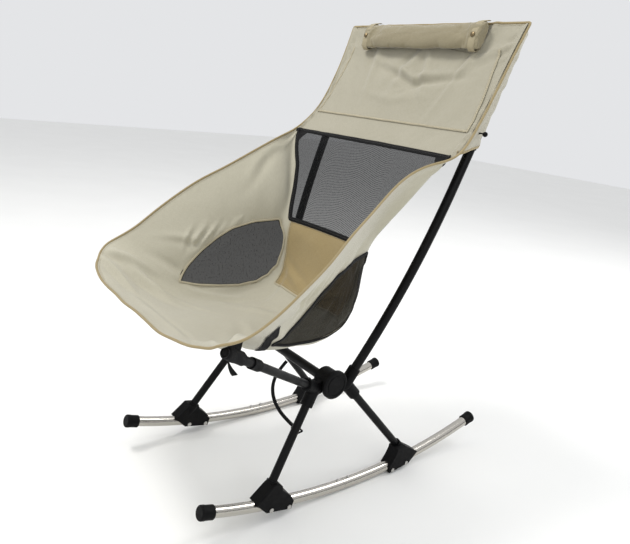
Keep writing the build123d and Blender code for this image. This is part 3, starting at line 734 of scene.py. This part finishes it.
def layer(name, rows, columns, span, across_span, standoff, material, extra=None, foot_z=None):
    """A second layer of cloth lying over a patch of the cover."""
    points = np.zeros((rows, columns, 3))
    outs = np.zeros((rows, columns, 3))
    uv = np.zeros((rows, columns, 2))
    for i in range(rows):
        for j in range(columns):
            c = (across_span[0] + (across_span[1] - across_span[0]) * j / (columns - 1)) * (COLUMNS - 1)
            foot = span[0] if foot_z is None else row_at_height(foot_z, c) / (ROWS - 1)
            r = (foot + (span[1] - foot) * i / (rows - 1)) * (ROWS - 1)
            i0, j0 = min(int(r), ROWS - 2), min(int(c), COLUMNS - 2)
            fr, fc = r - i0, c - j0
            weights = ((i0, j0, (1 - fr) * (1 - fc)), (i0 + 1, j0, fr * (1 - fc)), (i0, j0 + 1, (1 - fr) * fc),
                       (i0 + 1, j0 + 1, fr * fc))
            row = sum(w * table[index[a, b]] for a, b, w in weights)
            base = sum(w * lifted[index[a, b]] for a, b, w in weights)
            out_dir = row[3:6] / np.linalg.norm(row[3:6])
            more = extra(i / (rows - 1), j / (columns - 1)) if extra else 0.0
            points[i, j] = base + out_dir * (standoff + more)
            outs[i, j] = out_dir
            uv[i, j] = row[6:8]
    obj = make_object(name, points.reshape(-1, 3), sheet_faces(rows, columns), material, uv.reshape(-1, 2))
    return obj, points, outs


def pocket_sag(up_share, side_share):
    """Fullness of the pocket: cloth hanging from the pillow in a deep V, with softer ones below."""
    middle = np.sin(pi * side_share)
    belly = np.sin(pi * up_share)
    aside = side_share - 0.56
    hang = np.where(aside < 0, 0.95, 0.75) * abs(aside)
    level = up_share - 0.47 - hang
    near = np.exp(-(aside / 0.30) ** 2)
    deep_v = 0.0076 * near * (np.exp(-((level - 0.10) / 0.055) ** 2) - 0.85 * np.exp(-(level / 0.045) ** 2))
    level = up_share - 0.26 - 0.55 * abs(side_share - 0.46)
    low_v = 0.0034 * np.exp(-((side_share - 0.46) / 0.2) ** 2) * np.exp(-(level / 0.06) ** 2)
    turn = np.arctan2(up_share - 0.46, 2 * aside + 1e-6)
    spokes = 0.0004 * np.sin(9 * turn) * np.exp(-((up_share - 0.46) / 0.3) ** 2)
    return 0.0046 * middle * belly + np.sqrt(belly * middle) * (deep_v + low_v + spokes * middle)


pocket, pocket_points, pocket_outs = layer("head_pocket_cloth", 60, 120, POCKET_ROWS, POCKET_ACROSS,
                                           POCKET_STANDOFF, shaded_head_cream, pocket_sag, POCKET_FOOT_Z)
edge = np.vstack([pocket_points[::-1, 0], pocket_points[0, 1:], pocket_points[1:, -1]])
edge_out = np.vstack([pocket_outs[::-1, 0], pocket_outs[0, 1:], pocket_outs[1:, -1]])
trims.append(tape("pocket_hem", edge, edge_out, flat_profile(0.0046, 0.0018, 0.0002), cream_tape))
trims.append(stitches("pocket_stitches", edge + edge_out * 0.0006, edge_out, thread))

tabs = {}
for side, span in (("left", (0.74, 0.87)), ("right", (0.26, 0.13))):
    tabs[side], pts, outs = layer(f"corner_tab_cloth_{side}", 10, 40, (0.147, 0.167), span, -0.0022, black_tape)

# ---------------------------------------------------------------- pole pockets
WRAP_TOP_Z = 0.979
WRAP_FOOT_Z = 0.726
WRAP_R = 0.0124
SEAT_TIP = (0.245, -0.396, 0.405)
HUB_FRONT = (0.1397, -0.119, 0.237)
UPRIGHT_BEND = (0.2098, 0.048, 0.482)
UPRIGHT_TOP = (0.237, 0.218, 0.974)


def sleeve(name, tip, inner, radius, length, material, seed):
    """Sewn sleeve over a pole's end: creased across, pulled in at its mouth, with a folded end."""
    tip, inner = np.array(tip), np.array(inner)
    along = unit(tip - inner)
    side = unit(np.cross(along, np.array([0.0, 0.0, 1.0])))
    up = np.cross(side, along)
    rings, around = 44, 48
    points, uvs = [], []
    for i in range(rings):
        s = i / (rings - 1)
        back = (1 - s) * length
        close = 1.0 if s < 0.86 else max(0.02, (1 - ((s - 0.86) / 0.14) ** 2)) ** 0.5
        for j in range(around):
            angle = 2 * pi * j / around
            crease = 0.0003 * sin(2 * s * 6.3 + 2 * sin(angle + seed)) + 0.0003 * sin(3 * angle + 9 * s + seed)
            seam = 0.0016 * np.exp(-((((angle - pi / 2 + pi) % (2 * pi)) - pi) / 0.16) ** 2)
            r = (radius + 0.0009 + crease + seam) * close
            centre = tip - along * back
            points.append(centre + side * cos(angle) * r + up * sin(angle) * r)
            uvs.append((angle * radius, back))
    faces_here = []
    for i in range(rings - 1):
        for j in range(around):
            k = (j + 1) % around
            faces_here.append((i * around + j, i * around + k, (i + 1) * around + k, (i + 1) * around + j))
    faces_here.append(tuple((rings - 1) * around + j for j in range(around)))
    return make_object(name, points, faces_here, material, uvs)


def pole_wrap(name, sign):
    """Edge of the head panel folded round the upright: a flap back to the pole and a sleeve about it."""
    mirror_x = np.array([sign, 1, 1])
    bend, top = np.array(UPRIGHT_BEND), np.array(UPRIGHT_TOP)
    pole = unit(top - bend)
    rim = spline_through(np.array(RIM) * MM, 600)
    rows = 64
    points, uvs = [], []
    around = 24
    for i in range(rows):
        share = i / (rows - 1)
        z = WRAP_TOP_Z + (WRAP_FOOT_Z - WRAP_TOP_Z) * share
        slant = 0.030 * share ** 6
        centre = bend + (top - bend) * (z - bend[2]) / (top[2] - bend[2])
        past = max(0.0, z - 0.966) / (WRAP_TOP_Z - 0.966)
        edge = rim[np.argmin(np.abs(rim[:, 2] - min(z + 0.002, 0.984)) + (rim[:, 1] < 0) * 9)]
        toward = unit(centre - edge - pole * np.dot(centre - edge, pole))
        outward = unit(np.cross(toward, pole))
        outward = outward if outward[0] > 0 else -outward
        radius = WRAP_R * (1 - 0.55 * past ** 2) + 0.0005 * sin(share * 40) * sin(share * 9)
        row = []
        for k in range(5):
            f = k / 5
            sag = 0.0016 * sin(pi * f) + 0.0012 * sin(share * 24 + 2 * f) * sin(pi * f)
            row.append(edge + (centre - edge) * f + outward * (radius * f ** 0.7 - sag))
        for k in range(around - 10):
            angle = pi * k / (around - 11)
            crease = 0.0006 * sin(share * 33 + 2.5 * angle) + 0.0004 * sin(share * 61 - angle)
            row.append(centre + outward * cos(angle) * (radius + crease) + toward * sin(angle) * (radius + crease))
        for k in range(5, 0, -1):
            f = (k - 1) / 5 + 0.02
            row.append(edge + (centre - edge) * f - outward * (radius * f ** 0.7 + 0.004 * (1 - f)))
        run = 0.0
        for k in range(len(row)):
            row[k] = row[k] + pole * slant * sin(pi * k / (len(row) - 1))
        for k, place in enumerate(row):
            run += float(np.linalg.norm(place - row[k - 1])) if k else 0.0
            points.append(place * mirror_x)
            uvs.append((run, z))
    count = len(row)
    quads = sheet_faces(rows, count)
    quads.append(tuple(range(5, 19)))
    made = make_object(name, points, quads, shaded_head_cream, uvs)
    mouth = np.array(points[-count:])
    trims.append(tape(name.replace("wrap", "wrap_hem"), mouth, unit(mouth - mouth.mean(axis=0)),
                      flat_profile(0.0050, 0.0016, 0.0004), tan_tape))
    return made


sleeves = []
for side, sign in (("left", 1), ("right", -1)):
    s = np.array([sign, 1, 1])
    low = sleeve(f"corner_sleeve_{side}", SEAT_TIP * s, HUB_FRONT * s, 0.0096, 0.054, black_tape, 1.0 + sign)
    top = pole_wrap(f"top_wrap_{side}", sign)
    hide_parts(f"corner_pocket_{side}")
    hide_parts(f"top_pocket_{side}")
    sleeves += [low, top]

WEB_START = 0.046
WEB_END = 0.004
webs = []
for side, sign in (("left", 1), ("right", -1)):
    tip, inner = np.array(SEAT_TIP), np.array(HUB_FRONT)
    along = unit(tip - inner)
    web_points, web_uvs = [], []
    for u in np.linspace(0, 1, 14):
        foot = tip - along * (WEB_START + (WEB_END - WEB_START) * u) + np.array([0.0, 0.0, 0.0098])
        reach = (table[:, 0] - foot[0] - 0.006) ** 2 + (table[:, 1] - foot[1]) ** 2 + 9 * (table[:, 2] > 0.5)
        near = np.argmin(reach)
        head = lifted[near] - table[near, 3:6] * 0.0016
        for w in np.linspace(0, 1, 8):
            bow = 0.0016 * sin(pi * w) * sin(7 * u + 1.0)
            web_points.append((foot * (1 - w) + head * w + np.array([bow, 0, 0])) * np.array([sign, 1, 1]))
            web_uvs.append((u * 0.05, w * float(np.linalg.norm(head - foot))))
    webs.append(make_object(f"corner_web_{side}", web_points, sheet_faces(14, 8), black_tape, web_uvs))
sleeves += webs

# Short cords that hold the toggles, and the webbing tails under the front corners
TOGGLE_CORD = [(0.2600, 0.1228, 0.7680), (0.2500, 0.1275, 0.7688), (0.2400, 0.1315, 0.7680)]
TAIL_LONG = 0.028
tails = []
for side, sign in (("left", 1), ("right", -1)):
    mirror_x = np.array([sign, 1, 1])
    cord_line = spline_through(np.array(TOGGLE_CORD) * mirror_x, 14)
    trims.append(tape(f"toggle_cord_{side}", cord_line, np.tile([0.0, 0.0, 1.0], (14, 1)),
                      round_profile(0.0030, 0.0030), black_tape))
    along = unit(np.array(SEAT_TIP) - np.array(HUB_FRONT))
    root = np.array(SEAT_TIP) - along * 0.012 - np.array([0.0, 0.0, 0.0085])
    tail_points, tail_uvs = [], []
    for share in np.linspace(0, 1, 16):
        place = root + np.array([0.64, 0.77, 0.0]) * TAIL_LONG * (0.10 * share + 0.36 * share ** 2)
        place = place - np.array([0.0, 0.0, 1.0]) * TAIL_LONG * 0.92 * share
        half = 0.0016 + 0.0034 * np.clip((share - 0.25) / 0.6, 0, 1)
        for w, t in ((-1, -1), (-1, 1), (1, 1), (1, -1)):
            tail_points.append((place + np.array([0.77, -0.64, 0.0]) * t * 0.0006
                                + np.array([0.56, 0.68, 0.30]) * w * half) * mirror_x)
            tail_uvs.append((w * half, share * TAIL_LONG))
    quads = [(i * 4 + k, i * 4 + (k + 1) % 4, i * 4 + 4 + (k + 1) % 4, i * 4 + 4 + k)
             for i in range(15) for k in range(4)]
    quads += [(3, 2, 1, 0), (60, 61, 62, 63)]
    tails.append(make_object(f"pull_tail_{side}", tail_points, quads, black_tape, tail_uvs))

# ---------------------------------------------------------------- pillow
top_edge = np.array(CENTRE[-1]) * MM
panel_up = unit(top_edge - np.array(CENTRE[-2]) * MM)
panel_out = np.cross(np.array([1.0, 0, 0]), panel_up)
PILLOW_HALF_HIGH = 0.031
PILLOW_DROP = 0.006
PILLOW_OUT = 0.0168
pillow_centre = top_edge - panel_up * (PILLOW_HALF_HIGH + PILLOW_DROP) + panel_out * PILLOW_OUT
TAB_X = 0.160
TAB_WIDTH = 0.016
TAB_THICK = 0.0011
HINGE_LIFT = 0.0026
SIM_FRAMES = 20
PILLOW_STRETCH = 0.0032
PILLOW_NEAR = 0.0030
PILLOW_PRESS = 0.92


def soft_pillow():
    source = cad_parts["pillow"]
    mesh = source.data.copy()
    obj = bpy.data.objects.new("pillow_roll", mesh)
    bpy.context.scene.collection.objects.link(obj)
    mesh.materials.clear()
    bpy.ops.object.select_all(action="DESELECT")
    obj.select_set(True)
    bpy.context.view_layer.objects.active = obj
    remesh = obj.modifiers.new("even", "REMESH")
    remesh.mode = "VOXEL"
    remesh.voxel_size = 0.005
    bpy.ops.object.modifier_apply(modifier=remesh.name)
    before = np.array([v.co[:] for v in obj.data.vertices])
    pull = obj.vertex_groups.new(name="tabs")
    held = [i for i, p in enumerate(before) if abs(abs(p[0]) - TAB_X) < TAB_WIDTH / 2]
    pull.add(held, 0.85, "REPLACE")
    cloth = obj.modifiers.new("cloth", "CLOTH")
    cloth.settings.use_pressure = True
    cloth.settings.uniform_pressure_force = 4.0
    cloth.settings.quality = 5
    cloth.settings.shrink_min = -0.06
    cloth.settings.effector_weights.gravity = 0.0
    cloth.settings.vertex_group_mass = "tabs"
    cloth.point_cache.frame_start = 1
    cloth.point_cache.frame_end = SIM_FRAMES
    for number in range(1, SIM_FRAMES + 1):
        bpy.context.scene.frame_set(number)
    bpy.ops.object.modifier_apply(modifier=cloth.name)
    bpy.context.scene.frame_set(1)
    after = np.array([v.co[:] for v in obj.data.vertices])
    move = after - before
    size = np.linalg.norm(move, axis=1, keepdims=True)
    capped = before + move * np.minimum(1.0, PILLOW_STRETCH / np.maximum(size, 1e-9))
    centre = before.mean(axis=0)
    out_dir = unit((before - centre) * np.array([0.0, 1.0, 1.0]))
    end = np.clip((np.abs(before[:, 0]) - 0.12) / 0.055, 0, 1)
    angle = np.arctan2(before[:, 2] - centre[2], before[:, 1] - centre[1])
    gather = 0.0014 * end * np.sin(angle * 13 + np.sign(before[:, 0]) * 2)
    wave = 0.0009 * np.sin(before[:, 0] * 55 + 2 * np.sin(angle * 2)) * np.sin(angle * 3 + before[:, 0] * 20)
    capped += out_dir * (gather + wave)[:, None]
    off_panel = (capped - leaned(top_edge)) @ (TILT @ panel_out)
    pressed = PILLOW_NEAR + (off_panel - off_panel.min()) * PILLOW_PRESS
    capped += np.outer(pressed - off_panel, TILT @ panel_out) - TILT @ panel_up * PILLOW_DROP
    obj.data.vertices.foreach_set("co", capped.astype(np.float32).ravel())
    obj.data.update()
    detail = obj.modifiers.new("finer", "SUBSURF")
    detail.levels = 1
    detail.render_levels = 1
    bpy.ops.object.modifier_apply(modifier=detail.name)
    points = np.array([v.co[:] for v in obj.data.vertices])
    layer_uv = obj.data.uv_layers.new(name="cloth")
    turn = np.arctan2(points[:, 2] - centre[2], points[:, 1] - centre[1])
    uv = np.stack([points[:, 0], turn * 0.023], axis=1)
    loops = np.empty(len(obj.data.loops), dtype=np.int32)
    obj.data.loops.foreach_get("vertex_index", loops)
    layer_uv.data.foreach_set("uv", uv.astype(np.float32)[loops].ravel())
    obj.data.polygons.foreach_set("use_smooth", [True] * len(obj.data.polygons))
    obj.data.materials.append(pillow_tan)
    return obj


pillow = soft_pillow()
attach(pillow, "pillow")
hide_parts("pillow")

tab_pieces = []
for sign in (-1, 1):
    side = "left" if sign > 0 else "right"
    x = TAB_X * sign
    ring, ring_out = [], []
    for k in range(72):
        angle = 2 * pi * k / 72
        grow = 0.0014 + 0.0003 * sin(3 * angle)
        offset = panel_up * cos(angle) * (0.0305 + grow) + panel_out * sin(angle) * (0.0136 + grow)
        ring.append(pillow_centre + np.array([x, 0, 0]) + offset - panel_out * 0.0009)
        ring_out.append(unit(panel_up * cos(angle) / 0.029 + panel_out * sin(angle) / 0.017))
    strip = tape(f"pillow_strap_{side}", np.array(ring), np.array(ring_out),
                 flat_profile(TAB_WIDTH, 0.0014), pillow_tape, closed=True)
    tab_pieces.append(strip)
    place = pillow_centre + np.array([x, 0, 0]) + panel_out * 0.0163 - panel_up * 0.004
    ring_points, ring_faces = [], []
    profile = [(0.0, 0.0022), (0.0022, 0.0021), (0.0030, 0.0012), (0.0042, 0.0013), (0.0050, 0.0006),
               (0.0050, -0.0012)]
    for r, h in profile:
        for k in range(24):
            angle = 2 * pi * k / 24
            ring_points.append(place + panel_out * h + np.array([1.0, 0, 0]) * cos(angle) * r
                               + panel_up * sin(angle) * r)
    for ring_index in range(len(profile) - 1):
        for k in range(24):
            n = (k + 1) % 24
            a, b = ring_index * 24, (ring_index + 1) * 24
            ring_faces.append((a + k, a + n, b + n, b + k))
    snap = make_object(f"pillow_snap_{side}", ring_points, ring_faces, snap_metal)
    tab_pieces.append(snap)
    hinge = top_edge + panel_up * HINGE_LIFT + np.array([x, 0, 0])
    over = [hinge + panel_out * 0.0046 + panel_up * 0.0001, hinge + panel_out * 0.0066 - panel_up * 0.0001,
            hinge + panel_out * 0.0090 - panel_up * 0.0010, hinge + panel_out * 0.0130 - panel_up * 0.0034,
            hinge + panel_out * 0.0170 - panel_up * 0.0066]
    over = spline_through(over, 20)
    over_out = unit(np.cross(np.array([1.0, 0, 0]), np.gradient(over, axis=0)) * -1)
    over_out = over_out * np.sign(np.sum(over_out * panel_up, axis=1, keepdims=True))
    link = tape(f"pillow_link_{side}", over, over_out, flat_profile(TAB_WIDTH, TAB_THICK),
                pillow_tape)
    tab_pieces.append(link)
    anchor = [hinge - panel_out * 0.0030 - panel_up * 0.0012, hinge - panel_out * 0.0036 - panel_up * 0.012,
              hinge - panel_out * 0.0034 - panel_up * 0.030]
    anchor = spline_through(anchor, 16)
    behind = np.tile(-panel_out, (len(anchor), 1))
    hold = tape(f"pillow_anchor_{side}", anchor, behind, flat_profile(TAB_WIDTH, TAB_THICK),
                pillow_tape)
    trims.append(hold)
    trims.append(stitches(f"anchor_stitches_{side}", anchor[4:], behind[4:], thread))
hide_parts("pillow_tabs")
ride_all("pillow", *tab_pieces)

# ---------------------------------------------------------------- hanging strap
STRAP_ROUTE = [(5, -92, 232), (-2, -108, 208), (-3, -118, 180), (2, -118, 152), (14, -110, 126),
               (34, -100, 108), (60, -96, 102)]
curve = bpy.data.curves.new("hang_strap_tape", "CURVE")
curve.dimensions = "3D"
spline = curve.splines.new("NURBS")
spline.points.add(len(STRAP_ROUTE) - 1)
strap_places = leaned(np.array(STRAP_ROUTE) * MM)
for point, place in zip(spline.points, strap_places):
    point.co = (*place, 1.0)
spline.order_u = 3
spline.use_endpoint_u = True
spline.resolution_u = 12
curve.extrude = 0.0033
curve.bevel_depth = 0.0007
curve.bevel_resolution = 2
curve.materials.append(black_tape_cad)
strap = bpy.data.objects.new("hang_strap_tape", curve)
bpy.context.scene.collection.objects.link(strap)
strap_end = np.array(STRAP_ROUTE[-1]) * MM
strap_dir = unit(strap_end - np.array(STRAP_ROUTE[-2]) * MM)
buckle_side = unit(np.cross(strap_dir, np.array([0.0, 0.0, 1.0])))
buckle_out = np.cross(buckle_side, strap_dir)
BUCKLE_LONG = 0.020
BUCKLE_HALF = 0.0078
outline = []
for along, aside in ((0, -1), (0, 1), (1, 1), (1, -1)):
    outline.append(strap_end + strap_dir * (0.001 + along * BUCKLE_LONG) + buckle_side * aside * BUCKLE_HALF)
outline = even(np.array(outline), 64, closed=True)
outline = (np.roll(outline, 1, axis=0) + outline + np.roll(outline, -1, axis=0)) / 3
buckle = tape("strap_ladder_lock", outline, np.tile(buckle_out, (len(outline), 1)),
              round_profile(0.0036, 0.0044), black_plastic, closed=True)
bars = []
for number, (along, drop, thick) in enumerate(((0.36, 0.0004, 0.0030), (0.66, -0.0006, 0.0030))):
    centre = strap_end + strap_dir * (0.001 + along * BUCKLE_LONG) - buckle_out * drop
    ends = np.linspace(-1, 1, 8)[:, None] * buckle_side * BUCKLE_HALF + centre
    bars.append(tape(f"strap_lock_bar_{number}", ends, np.tile(buckle_out, (8, 1)), round_profile(thick, thick),
                     black_plastic))
for piece in [buckle, *bars]:
    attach(piece, "frame")
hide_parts("strap_buckle")
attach(strap, "frame")
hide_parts("hang_strap")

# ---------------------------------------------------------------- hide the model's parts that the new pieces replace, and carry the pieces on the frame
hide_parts("seat_panel")
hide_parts("head_panel")
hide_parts("back_window")
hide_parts("lumbar_panel")
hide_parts("side_mesh_left")
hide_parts("side_mesh_right")
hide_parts("head_pocket")
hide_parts("edge_binding_left", "edge_binding_right")
for side, piece in tabs.items():
    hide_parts(f"corner_tab_{side}")
ride_all("frame", *cover_pieces, *trims, rim_piping, pocket, *tabs.values(), *sleeves, *tails)


# ---------------------------------------------------------------- stage
floor_look = Shader("pale_floor")
floor_look.coords(False)
floor_tone = floor_look.mix(floor_look.noise(3.0, 4.0), linear(238, 238, 236), linear(244, 244, 242))
floor_look.put(Base_Color=floor_tone, Roughness=0.75, Specular_IOR_Level=0.2)
SWEEP_HALF = 9.0
sweep = [(-SWEEP_HALF, -SWEEP_HALF, 0), (SWEEP_HALF, -SWEEP_HALF, 0), (SWEEP_HALF, SWEEP_HALF, 0),
         (-SWEEP_HALF, SWEEP_HALF, 0)]
floor = make_object("floor", sweep, [(0, 1, 2, 3)], floor_look.material)
floor.location.z = -0.0005


def area_light(name, place, aim, size, energy, tint=(1, 1, 1)):
    data = bpy.data.lights.new(name, "AREA")
    data.energy = energy
    data.size = size
    data.color = tint
    obj = bpy.data.objects.new(name, data)
    obj.location = place
    obj.rotation_euler = (Vector(aim) - Vector(place)).to_track_quat("-Z", "Y").to_euler()
    bpy.context.scene.collection.objects.link(obj)
    return obj


lights = [area_light("key", (-0.9, -1.2, 3.3), (0, 0, 0.5), 0.9, 54, (1.0, 0.985, 0.96)),
          area_light("fill", (2.8, -0.9, 1.6), (0, 0, 0.5), 2.2, 16, (0.95, 0.975, 1.0)),
          area_light("rim", (0.6, 2.6, 2.6), (0, 0, 0.6), 1.6, 44)]
world = bpy.data.worlds.new("soft_room")
world.use_nodes = True
world.node_tree.nodes["Background"].inputs[0].default_value = (0.97, 0.98, 1.0, 1)
world.node_tree.nodes["Background"].inputs[1].default_value = 0.80
bpy.context.scene.world = world
bpy.context.scene.view_settings.view_transform = "Standard"

CAMERA_PLACE = (0.9955, -0.8475, 0.7951)
azimuth, elevation, roll = radians(50.13), radians(13.66), radians(6.87)
back = Vector((sin(azimuth) * cos(elevation), -cos(azimuth) * cos(elevation), sin(elevation)))
right = (-back).cross(Vector((0, 0, 1))).normalized()
up = right.cross(-back)
# The camera's roll turns its right and up about the way it looks
camera_right = cos(roll) * right + sin(roll) * up
camera_up = -sin(roll) * right + cos(roll) * up
lens_data = bpy.data.cameras.new("view")
lens_data.lens = 34.86
lens_data.sensor_width = 36.0
lens_data.shift_x = -0.0165
lens_data.shift_y = -0.0353
camera = bpy.data.objects.new("view", lens_data)
axes = Matrix((camera_right, camera_up, back)).transposed()
lean = Matrix.Translation(Vector(ROCKER_CENTRE)) @ Matrix(TILT.tolist()).to_4x4() @ Matrix.Translation(
    -Vector(ROCKER_CENTRE))
camera.matrix_world = lean @ Matrix.Translation(CAMERA_PLACE) @ axes.to_4x4()
bpy.context.scene.collection.objects.link(camera)
bpy.context.scene.camera = camera

# Dark cards seen only in the reflections of the polished rockers
card_look = Shader("dark_card")
card_look.put(Base_Color=(0.01, 0.01, 0.01, 1), Roughness=1.0, Specular_IOR_Level=0.0)
for number, (place, half, high) in enumerate((((1.6, 0, 0.42), 2.2, 0.10), ((-1.6, 0, 0.42), 2.2, 0.10),
                                              ((1.0, 0, 0.04), 2.2, 0.03), ((-1.0, 0, 0.04), 2.2, 0.03))):
    corners = [(0, -half, -high), (0, half, -high), (0, half, high), (0, -half, high)]
    places = [np.add(c, place) for c in corners]
    card = make_object(f"card_{number}", places, [(0, 1, 2, 3)], card_look.material)
    card.visible_camera = False
    card.visible_diffuse = False
    card.visible_shadow = False
    card.visible_transmission = False
